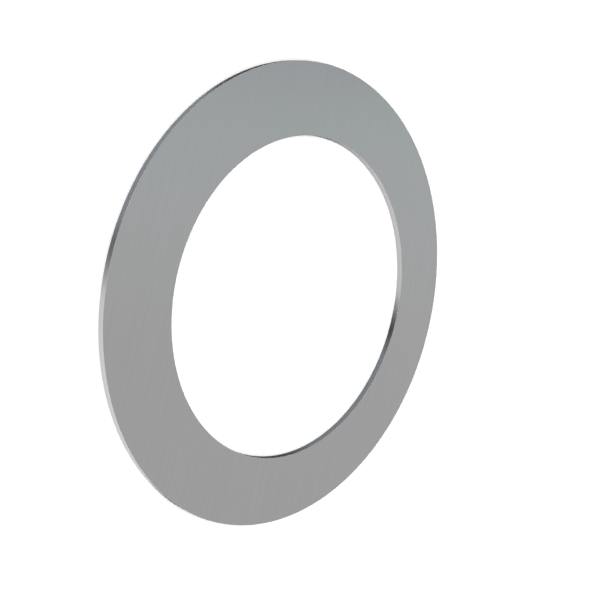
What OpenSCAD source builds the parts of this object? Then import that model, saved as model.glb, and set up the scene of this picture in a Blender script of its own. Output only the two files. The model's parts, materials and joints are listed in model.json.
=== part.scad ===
// Flat ring gasket: one plain ring cut from metal sheet.
// It lies on its lower face, with the origin at the centre of the bore on that face and +Z along the bore.

/* [Ring] */
// Outside diameter of the ring
outer_d = 72; // [60:0.5:120]
// Diameter of the round bore
bore_d = 50.5; // [20:0.5:56]
// Thickness of the sheet that the ring is cut from
sheet_t = 1; // [0.5:0.1:3]

/* [Edges] */
// Radius that deburring leaves on the circular edges of rim and bore
edge_r = 0.05; // [0.02:0.01:0.2]

/* [Hidden] */

outer_r = outer_d / 2;
bore_r = bore_d / 2;
// Radial width of the ring
ring_w = outer_r - bore_r;
// Flat width of each sealing face, between the rounded edges
face_w = ring_w - 2 * edge_r;
// Straight height of the rim and bore walls, between the rounded edges
wall_h = sheet_t - 2 * edge_r;

// Grey of the bare sheet
sheet_grey = [0.62, 0.62, 0.62];
// Facets drawn around the ring, and around each rounded edge of its section
ring_facets = 256;
edge_facets = 48;

// Section of the ring beside its axis: a thin rectangle with rounded corners
module ring_section() {
    translate([bore_r, edge_r])
        square([ring_w, wall_h]);
    translate([bore_r + edge_r, 0])
        square([face_w, sheet_t]);
    for (x = [bore_r + edge_r, outer_r - edge_r], z = [edge_r, sheet_t - edge_r])
        translate([x, z])
            circle(r = edge_r, $fn = edge_facets);
}

// The whole part: its section turned once around the bore's axis
module gasket() {
    color(sheet_grey)
        rotate_extrude($fn = ring_facets)
            ring_section();
}

gasket();
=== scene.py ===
# %% [markdown]
# This lesson dresses a flat ring gasket: one thin ring of sheet steel with a plain round bore.
# The imported model comes in first. It is the fixed frame, so every size and place below is read
# from it or worked out from it, in metres, and nothing here moves or resizes it.

# %% Load the imported model
import json
import math

import bmesh
import bpy
from mathutils import Matrix, Vector


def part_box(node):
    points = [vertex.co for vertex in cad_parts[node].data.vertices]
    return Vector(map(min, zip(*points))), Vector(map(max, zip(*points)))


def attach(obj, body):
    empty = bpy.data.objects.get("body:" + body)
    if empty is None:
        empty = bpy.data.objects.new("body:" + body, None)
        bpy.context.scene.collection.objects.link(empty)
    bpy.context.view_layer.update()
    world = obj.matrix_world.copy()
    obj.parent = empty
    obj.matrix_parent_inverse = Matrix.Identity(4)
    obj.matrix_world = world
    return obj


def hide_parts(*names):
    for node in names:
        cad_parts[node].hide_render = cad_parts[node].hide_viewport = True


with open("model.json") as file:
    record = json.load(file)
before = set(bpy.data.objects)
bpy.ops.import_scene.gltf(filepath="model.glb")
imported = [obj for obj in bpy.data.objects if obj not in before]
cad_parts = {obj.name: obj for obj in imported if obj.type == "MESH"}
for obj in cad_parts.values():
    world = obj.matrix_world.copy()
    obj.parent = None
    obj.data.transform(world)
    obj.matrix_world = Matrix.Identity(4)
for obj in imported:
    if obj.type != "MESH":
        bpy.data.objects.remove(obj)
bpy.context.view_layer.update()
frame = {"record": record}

# %% [markdown]
# A plain ring has four sizes: its outside radius, the radius of its bore, the thickness of its sheet
# and the small radius that deburring leaves on its edges. The record's mounts state the first two,
# and the straight height of the bore's wall. What is left of the sheet's thickness is shared by
# the rounded edges above and below that wall.

# %% Read the ring's sizes
MM = 0.001
mounts = {mount["name"]: mount["dims"] for mount in frame["record"]["mounts"]}
low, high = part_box("gasket")
outer_r = mounts["rim"]["r_mm"] * MM
bore_r = mounts["bore"]["r_mm"] * MM
sheet_t = high.z - low.z
edge_r = (sheet_t - mounts["bore"]["length_mm"] * MM) / 2
print("outside %.2f mm, bore %.2f mm" % (2 * outer_r / MM, 2 * bore_r / MM))
print("sheet %.2f mm, edges rounded to %.2f mm" % (sheet_t / MM, edge_r / MM))

# %% [markdown]
# The real ring is cut from sheet, so its section is a thin rectangle, the same all the way round.
# A cylinder with a hole cut through it would give the form too, but a boolean leaves long thin faces.
# Here the rectangle is drawn once beside the axis, its four corners are rounded, and the outline
# is spun through a full turn. Every face then is a tidy quad that follows the ring.
# The section's own face goes before the spin, because it would stay behind inside the ring.

# %% Spin the section into a ring
RING_STEPS = 360
EDGE_STEPS = 5
MERGE_DISTANCE = 0.0001 * MM


def ring_mesh(name):
    """The ring as a closed mesh: a rectangle with rounded corners, spun once round the bore's axis."""
    shape = bmesh.new()
    corners = [(bore_r, low.z), (outer_r, low.z), (outer_r, high.z), (bore_r, high.z)]
    section = shape.faces.new([shape.verts.new((x, 0, z)) for x, z in corners])
    bmesh.ops.bevel(
        shape,
        geom=section.verts[:],
        offset=edge_r,
        affect="VERTICES",
        segments=EDGE_STEPS,
        profile=0.5,
        material=-1,
    )
    bmesh.ops.delete(shape, geom=shape.faces[:], context="FACES_ONLY")
    bmesh.ops.spin(
        shape,
        geom=shape.verts[:] + shape.edges[:],
        cent=(0, 0, 0),
        axis=(0, 0, 1),
        angle=math.tau,
        steps=RING_STEPS,
        use_merge=True,
    )
    bmesh.ops.remove_doubles(shape, verts=shape.verts[:], dist=MERGE_DISTANCE)
    bmesh.ops.recalc_face_normals(shape, faces=shape.faces[:])
    for face in shape.faces:
        face.smooth = True
    mesh = bpy.data.meshes.new(name)
    shape.to_mesh(mesh)
    shape.free()
    return mesh


ring = bpy.data.objects.new("gasket_ring", ring_mesh("gasket_ring"))
bpy.context.scene.collection.objects.link(ring)
print("ring:", len(ring.data.vertices), "vertices,", len(ring.data.polygons), "faces")

# %% [markdown]
# Smooth shading averages the normals of neighbouring faces, which would bend the light
# on the wide flat faces near each small rounded edge. A Weighted Normal modifier lets the largest face
# at each point decide. The sealing faces then shade dead flat and only the rounded edges turn.

# %% Keep the sealing faces flat to the light
LARGEST_FACE_DECIDES = 100

flat_light = ring.modifiers.new("flat_light", "WEIGHTED_NORMAL")
flat_light.mode = "FACE_AREA"
flat_light.weight = LARGEST_FACE_DECIDES
print("modifiers on the ring:", [modifier.name for modifier in ring.modifiers])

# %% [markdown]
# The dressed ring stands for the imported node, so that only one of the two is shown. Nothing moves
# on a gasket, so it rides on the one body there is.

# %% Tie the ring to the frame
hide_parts("gasket")
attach(ring, "root")

# %% [markdown]
# A finish is a small calculation for each point of a surface. Node by node it is hard to read,
# so this class wraps one socket and lets Python's operators add the Math nodes.
# Any other node comes from its one method, which sets the node's settings first and then
# gives each input socket a value or a link. A Mix node has sockets of the same name for several
# kinds of data, so its sockets for colours are picked by number.

# %% Write shader maths as Python expressions
MIX_FIRST = 6
MIX_SECOND = 7
MIX_RESULT = 2


class Wire:
    """One output socket of a node tree. An expression on wires adds its Math nodes to that tree."""

    def __init__(self, tree, socket=None):
        self.tree = tree
        self.socket = socket

    def node(self, kind, settings, inputs, output=0):
        """Adds a node: its settings are set first, then the values or links of its inputs."""
        made = self.tree.nodes.new(kind)
        for name, value in settings.items():
            setattr(made, name, value)
        for name, value in inputs.items():
            if isinstance(value, Wire):
                value.into(made.inputs[name])
            else:
                made.inputs[name].default_value = value
        return Wire(self.tree, made.outputs[output])

    def into(self, socket):
        """Links this wire to an input socket."""
        self.tree.links.new(self.socket, socket)

    def maths(self, operation, *values):
        """A Math node on these values, in order."""
        return self.node("ShaderNodeMath", {"operation": operation}, dict(enumerate(values)))

    def ramp(self, start, end):
        """0 before start and 1 after end, with a soft rise between them. End may lie below start."""
        settings = {"interpolation_type": "SMOOTHSTEP"}
        inputs = {"Value": self, "From Min": start, "From Max": end}
        return self.node("ShaderNodeMapRange", settings, inputs)

    def mix(self, first, second):
        """A colour between two colours or colour wires, with this wire as the share of the second."""
        settings = {"data_type": "RGBA"}
        inputs = {"Factor": self, MIX_FIRST: first, MIX_SECOND: second}
        return self.node("ShaderNodeMix", settings, inputs, MIX_RESULT)

    def __add__(self, other):
        return self.maths("ADD", self, other)

    def __radd__(self, other):
        return self.maths("ADD", other, self)

    def __sub__(self, other):
        return self.maths("SUBTRACT", self, other)

    def __rsub__(self, other):
        return self.maths("SUBTRACT", other, self)

    def __mul__(self, other):
        return self.maths("MULTIPLY", self, other)

    def __rmul__(self, other):
        return self.maths("MULTIPLY", other, self)

    def __abs__(self):
        return self.maths("ABSOLUTE", self)


print("wires are ready")

# %% [markdown]
# Three patterns cover the steel. Rolling draws the sheet's surface out into fine lines along X,
# handling leaves broad soft patches, and cutting leaves lines that run round the rim and the bore.
# All three are noise on Object coordinates, stretched by a Mapping node: long along a mark and
# short across it. Plain noise would look like stone, and a wave texture would be far too regular.

# %% Marks in the steel
ROLLED_LINE = (22 * MM, 0.35 * MM, 22 * MM)
CUT_LINE = (9 * MM, 9 * MM, 0.06 * MM)
PATCH = (17 * MM, 17 * MM, 17 * MM)
FINENESS = 4.0
NOISE_MEAN = 0.5


def marks(place, size):
    """Noise about zero, within half a unit either way. Size is that of one mark along X, Y and Z."""
    scale = [1 / length for length in size]
    spread = place.node("ShaderNodeMapping", {}, {"Vector": place, "Scale": scale})
    inputs = {"Vector": spread, "Scale": 1.0, "Detail": FINENESS}
    return place.node("ShaderNodeTexNoise", {}, inputs) - NOISE_MEAN


print("rolled lines %.2f mm wide, cut lines %.2f mm" % (ROLLED_LINE[1] / MM, CUT_LINE[2] / MM))

# %% [markdown]
# The steel is one metal with two finishes. The sealing faces keep the smooth grey of rolled sheet,
# which mirrors the room. The cut walls are torn rather than rolled: they are a little darker, and so rough
# that they scatter light more than they mirror it. Only a little of them acts as bare metal. The bore's
# wall is painted darker than the rim's, as painted shade for the inside of the hole.
# Deburring leaves a thin bright line where walls and faces meet.
# They could be separate materials, but then every change would be a hard step. Instead the shader
# measures how far each point lies from the nearest wall, and soft masks fade between the finishes.

# %% Sheet steel
FACE_GREY = 0.364
FACE_ROUGHNESS = 0.20
CUT_GREY = 0.34
CUT_ROUGHNESS = 0.50
CUT_METAL = 0.05
CUT_SHINE = 0.0
# Painted shade: the share by which the bore's wall is coloured darker than the rim's wall
BORE_PAINTED_SHADE = 0.08
ROLLED_TONE = 0.12
ROLLED_ROUGHNESS = 0.12
PATCH_TONE = 0.03
CUT_TONE = 0.30
WORN_BAND = 0.06 * MM
WORN_TONE = 0.12
MARK_HEIGHT = 0.002 * MM
middle_r = (outer_r + bore_r) / 2
half_w = (outer_r - bore_r) / 2


def grey(tone):
    """One tone as a colour."""
    return tone.node("ShaderNodeCombineColor", {}, {0: tone, 1: tone, 2: tone})


def sheet_steel():
    """Rolled faces, bright worn edges and dull cut walls, told apart by the distance to the nearest wall."""
    material = bpy.data.materials.new("sheet_steel")
    material.use_nodes = True
    tree = material.node_tree
    shader = tree.nodes["Principled BSDF"]

    place = Wire(tree).node("ShaderNodeTexCoord", {}, {}, "Object")
    flat = place.node("ShaderNodeVectorMath", {"operation": "MULTIPLY"}, {0: place, 1: (1, 1, 0)})
    radius = flat.node("ShaderNodeVectorMath", {"operation": "LENGTH"}, {0: flat}, "Value")
    from_wall = half_w - abs(radius - middle_r)
    cut = from_wall.ramp(edge_r, 0.0)
    worn = from_wall.ramp(edge_r + WORN_BAND, edge_r)
    # 0 at the rim and 1 at the bore: where the painted shade of the bore's wall is laid on
    painted_shade_mask = radius.ramp(outer_r, bore_r)

    rolled = marks(place, ROLLED_LINE)
    torn = marks(place, CUT_LINE)
    face_tone = FACE_GREY * (1 + rolled * ROLLED_TONE + marks(place, PATCH) * PATCH_TONE + worn * WORN_TONE)
    cut_tone = CUT_GREY * (1 + torn * CUT_TONE - painted_shade_mask * BORE_PAINTED_SHADE)
    face_roughness = FACE_ROUGHNESS + rolled * ROLLED_ROUGHNESS
    relief = rolled + cut * (torn - rolled)

    grey(face_tone + cut * (cut_tone - face_tone)).into(shader.inputs["Base Color"])
    (face_roughness + cut * (CUT_ROUGHNESS - face_roughness)).into(shader.inputs["Roughness"])
    (1 - cut * (1 - CUT_METAL)).into(shader.inputs["Metallic"])
    shader.inputs["Specular IOR Level"].default_value = CUT_SHINE
    bump = relief.node("ShaderNodeBump", {}, {"Height": relief, "Distance": MARK_HEIGHT})
    bump.into(shader.inputs["Normal"])
    return material


ring.data.materials.append(sheet_steel())
print("finish of the ring:", [slot.material.name for slot in ring.material_slots])

# %% [markdown]
# The ring lies on a plain white floor. Paint alone would need strong lamps to come out white, and they
# would wash out the steel. So wherever the floor is seen, by the camera or in the steel, half of it is white
# by itself, and the other half is white paint that keeps the ring's shadow. Far from the ring all of it
# is white by itself, so that no line shows where it ends. To rays that only gather light for a surface
# it is nearly black, or it would throw up so much light that no wall could stay dark.
# Light Path tells the two kinds of ray apart.

# %% Floor paint
FLOOR_SEEN = (0.98, 0.98, 0.98, 1)
FLOOR_GATHERED = (0.06, 0.06, 0.06, 1)
FLOOR_GLOW = 0.5
FLOOR_FADE = (0.2, 0.6)
WHITE = (1, 1, 1, 1)


def ray(tree, kind):
    """1 for a ray of that kind, and 0 for any other."""
    return Wire(tree).node("ShaderNodeLightPath", {}, {}, kind)


def seen(tree):
    """1 for a ray from the camera, off a shiny surface or through a clear one."""
    return ray(tree, "Is Camera Ray") + ray(tree, "Is Glossy Ray") + ray(tree, "Is Transmission Ray")


def floor_finish():
    """Matt paint with no shine. Where it is seen it is partly white by itself, and wholly so far away."""
    material = bpy.data.materials.new("studio_floor")
    material.use_nodes = True
    material.cycles.emission_sampling = "NONE"
    tree = material.node_tree
    shader = tree.nodes["Principled BSDF"]
    shader.inputs["Roughness"].default_value = 1.0
    shader.inputs["Specular IOR Level"].default_value = 0.0
    shown = seen(tree)
    shown.mix(FLOOR_GATHERED, FLOOR_SEEN).into(shader.inputs["Base Color"])
    paint = Wire(tree, shader.outputs[0])
    glow = shown.node("ShaderNodeEmission", {}, {"Color": WHITE, "Strength": 1.0})
    place = shown.node("ShaderNodeTexCoord", {}, {}, "Object")
    away = place.node("ShaderNodeVectorMath", {"operation": "LENGTH"}, {0: place}, "Value")
    share = FLOOR_GLOW + away.ramp(*FLOOR_FADE) * (1 - FLOOR_GLOW)
    both = shown.node("ShaderNodeMixShader", {}, {0: shown * share, 1: paint, 2: glow})
    both.into(tree.nodes["Material Output"].inputs["Surface"])
    return material


floor_paint = floor_finish()
print("floor paint:", len(floor_paint.node_tree.nodes), "nodes")

# %% [markdown]
# The floor itself is one large quad. It lies a hair below the ring, because two faces in the same place
# would flicker.

# %% Floor
FLOOR_SIZE = 4.0
FLOOR_GAP = 0.005 * MM

quad = bmesh.new()
bmesh.ops.create_grid(quad, x_segments=1, y_segments=1, size=FLOOR_SIZE / 2)
bmesh.ops.translate(quad, verts=quad.verts[:], vec=(0, 0, low.z - FLOOR_GAP))
floor_mesh = bpy.data.meshes.new("floor")
quad.to_mesh(floor_mesh)
quad.free()
floor_mesh.materials.append(floor_paint)
floor = bpy.data.objects.new("floor", floor_mesh)
bpy.context.scene.collection.objects.link(floor)
print("floor: %.1f m square" % FLOOR_SIZE)

# %% [markdown]
# On a ring this thin, a lamp that stands high lights the floor and hardly touches the walls. So three narrow
# spots skim over the floor instead. They strike the walls square on, and the floor so flatly that
# it takes little from them. Turns are counted in degrees from -Y, where the camera stands, towards +X.
# A strong key stands on one side of the camera and a weak, cool fill on the other. A beam is a strip:
# the rim leaves it at one edge, and the bore, which faces the lamp from the far side of the hole,
# at the other. The edges are set so that both walls keep a dark line between key and fill,
# as bright metal edges have in a studio. A third lamp does the same for the walls that face away.
# A lamp's power spreads over a sphere, so it has to grow with the square of the distance.
# No lamp shows in shiny surfaces, because it would lay a hard bright strip across the faces.

# %% Skimming lamps
KEY_TURN = 38
KEY_RIM_EDGE = 1.2
KEY_BORE_EDGE = 5.0
KEY_LEVEL = 1.6
FILL_TURN = -30
FILL_RIM_EDGE = -1.6
FILL_BORE_EDGE = -7.8
FILL_LEVEL = 0.51
BACK_TURN = 205
BACK_RIM_EDGE = 170
BACK_BORE_EDGE = 176
BACK_LEVEL = 1.6
WHITE_LIGHT = (1, 1, 1)
COOL_LIGHT = (0.90, 1.0, 1.12)
LAMP_ELEVATION = 4
LAMP_DISTANCE = 1.2
LAMP_RADIUS = 3 * MM
BEAM_SOFTNESS = 0.1


def towards(turn, elevation=0):
    """The way from the ring to a place at that turn round it and that many degrees above the floor."""
    turn, elevation = math.radians(turn), math.radians(elevation)
    flat = math.cos(elevation)
    return Vector((flat * math.sin(turn), -flat * math.cos(turn), math.sin(elevation)))


def skim(name, turn, rim_edge, bore_edge, level, colour):
    """A spot low over the floor, whose beam ends where the rim and the bore face those two turns."""
    at_rim = outer_r * math.sin(math.radians(rim_edge - turn))
    at_bore = -bore_r * math.sin(math.radians(bore_edge - turn))
    beam_half = abs(at_rim - at_bore) / 2
    aim = towards(turn + 90) * (at_rim + at_bore) / 2
    way = towards(turn, LAMP_ELEVATION)
    sphere = 4 * math.pi * LAMP_DISTANCE**2
    data = bpy.data.lights.new(name, "SPOT")
    data.energy = math.pi * level * sphere
    data.color = colour
    data.spot_size = 2 * math.atan(beam_half / LAMP_DISTANCE)
    data.spot_blend = BEAM_SOFTNESS
    data.shadow_soft_size = LAMP_RADIUS
    lamp = bpy.data.objects.new(name, data)
    lamp.visible_glossy = False
    lamp.location = aim + way * LAMP_DISTANCE
    lamp.rotation_euler = way.to_track_quat("Z", "Y").to_euler()
    bpy.context.scene.collection.objects.link(lamp)
    print("%s: a beam %.1f mm wide, %.1f W" % (name, 2 * beam_half / MM, data.energy))


skim("key", KEY_TURN, KEY_RIM_EDGE, KEY_BORE_EDGE, KEY_LEVEL, WHITE_LIGHT)
skim("fill", FILL_TURN, FILL_RIM_EDGE, FILL_BORE_EDGE, FILL_LEVEL, COOL_LIGHT)
skim("back", BACK_TURN, BACK_RIM_EDGE, BACK_BORE_EDGE, BACK_LEVEL, WHITE_LIGHT)

# %% [markdown]
# The steel mirrors the world round it. The world can't be one even grey, because a flat mirror would then
# look like paper, so it is a pale room. Faint tints cross it, from mist through pale blue and sea green
# to slate and back, each over the one before. Tall panels stand round it with darker gaps between them,
# so that a sheen runs over the faces from any side. The part of the room that the faces mirror
# to the camera is kept clear of gaps and has the tints alone.

# %% Pale room
PANELS = 6
PANEL_GAP = (0.66, 0.665, 0.675, 1)
CLEAR_TURN = 180
CLEAR_ELEVATION = 43
CLEAR_EDGE = (0.90, 0.70)
TINT_TURN = 100
PALE_GREY = (0.915, 0.915, 0.915, 1)
MIST = (0.94, 0.94, 0.94, 1)
PALE_BLUE = (0.955, 0.986, 1.0, 1)
SEA_GREEN = (0.91, 0.995, 1.0, 1)
SLATE = (0.785, 0.805, 0.85, 1)
TINTS = [
    (0.20, 0.13, MIST),
    (0.12, 0.03, PALE_BLUE),
    (0.0, -0.08, SEA_GREEN),
    (-0.10, -0.17, SLATE),
    (-0.30, -0.60, PALE_GREY),
]


def lean(way, direction):
    """How far a way leans in a direction: 1 straight along it, 0 square to it, -1 straight against it."""
    inputs = {0: way, 1: direction}
    return way.node("ShaderNodeVectorMath", {"operation": "DOT_PRODUCT"}, inputs, "Value")


world = bpy.data.worlds.new("studio")
world.use_nodes = True
world.cycles.sampling_method = "NONE"
room = world.node_tree
way = Wire(room).node("ShaderNodeTexCoord", {}, {}, "Generated")
mirrored = PALE_GREY
for start, end, tint in TINTS:
    mirrored = lean(way, towards(TINT_TURN)).ramp(start, end).mix(mirrored, tint)
bearing = way.maths("ARCTAN2", lean(way, towards(90)), lean(way, towards(0)))
gap = way.maths("COSINE", bearing * PANELS).ramp(1, -1)
clear = lean(way, towards(CLEAR_TURN, CLEAR_ELEVATION)).ramp(*CLEAR_EDGE)
mirrored = (gap * clear).mix(mirrored, PANEL_GAP)
print("pale room:", len(TINTS), "tints and", PANELS, "panels")

# %% [markdown]
# The rest of the light is soft and falls from above. A lamp overhead could give it, but the world can too,
# because Light Path tells what kind of ray arrives. The camera finds plain white, and the steel finds
# the pale room. Rays that gather light find a softbox straight overhead in a dim room, which lights
# the floor plainly and leaves the walls to the lamps.

# %% Soft light from above
SOFTBOX = (5.7, 5.7, 5.7, 1)
DIM_ROOM = (0.02, 0.02, 0.02, 1)
SOFTBOX_EDGE = (0.85, 0.95)

shown = ray(room, "Is Camera Ray").mix(mirrored, WHITE)
gathered = lean(way, towards(0, 90)).ramp(*SOFTBOX_EDGE).mix(DIM_ROOM, SOFTBOX)
seen(room).mix(gathered, shown).into(room.nodes["Background"].inputs["Color"])
bpy.context.scene.world = world
print("world:", len(room.nodes), "nodes")

# %% [markdown]
# The camera looks down on the lying ring from 47 degrees off its axis, and is turned onto its side,
# so that the ring stands up in the picture. The lens is a plain 50 mm, and the distance decides
# how much smaller the far side of the ring looks.

# %% Camera
VIEW_TILT = 47.44
VIEW_ROLL = 103.41
VIEW_DISTANCE = 130.2 * MM
NEAR_CLIP = 1 * MM
LENS = 50
SENSOR = 36

camera_data = bpy.data.cameras.new("camera")
camera_data.lens = LENS
camera_data.sensor_width = SENSOR
camera_data.clip_start = NEAR_CLIP
camera = bpy.data.objects.new("camera", camera_data)
tilt = Matrix.Rotation(math.radians(VIEW_TILT), 3, "X")
roll = Matrix.Rotation(math.radians(VIEW_ROLL), 3, "Z")
camera.rotation_euler = (tilt @ roll).to_euler()
camera.location = (low + high) / 2 + tilt @ Vector((0, 0, VIEW_DISTANCE))
bpy.context.scene.collection.objects.link(camera)
bpy.context.scene.camera = camera
bpy.context.scene.view_settings.view_transform = "Standard"
print("camera at", [round(length / MM, 1) for length in camera.location], "mm")
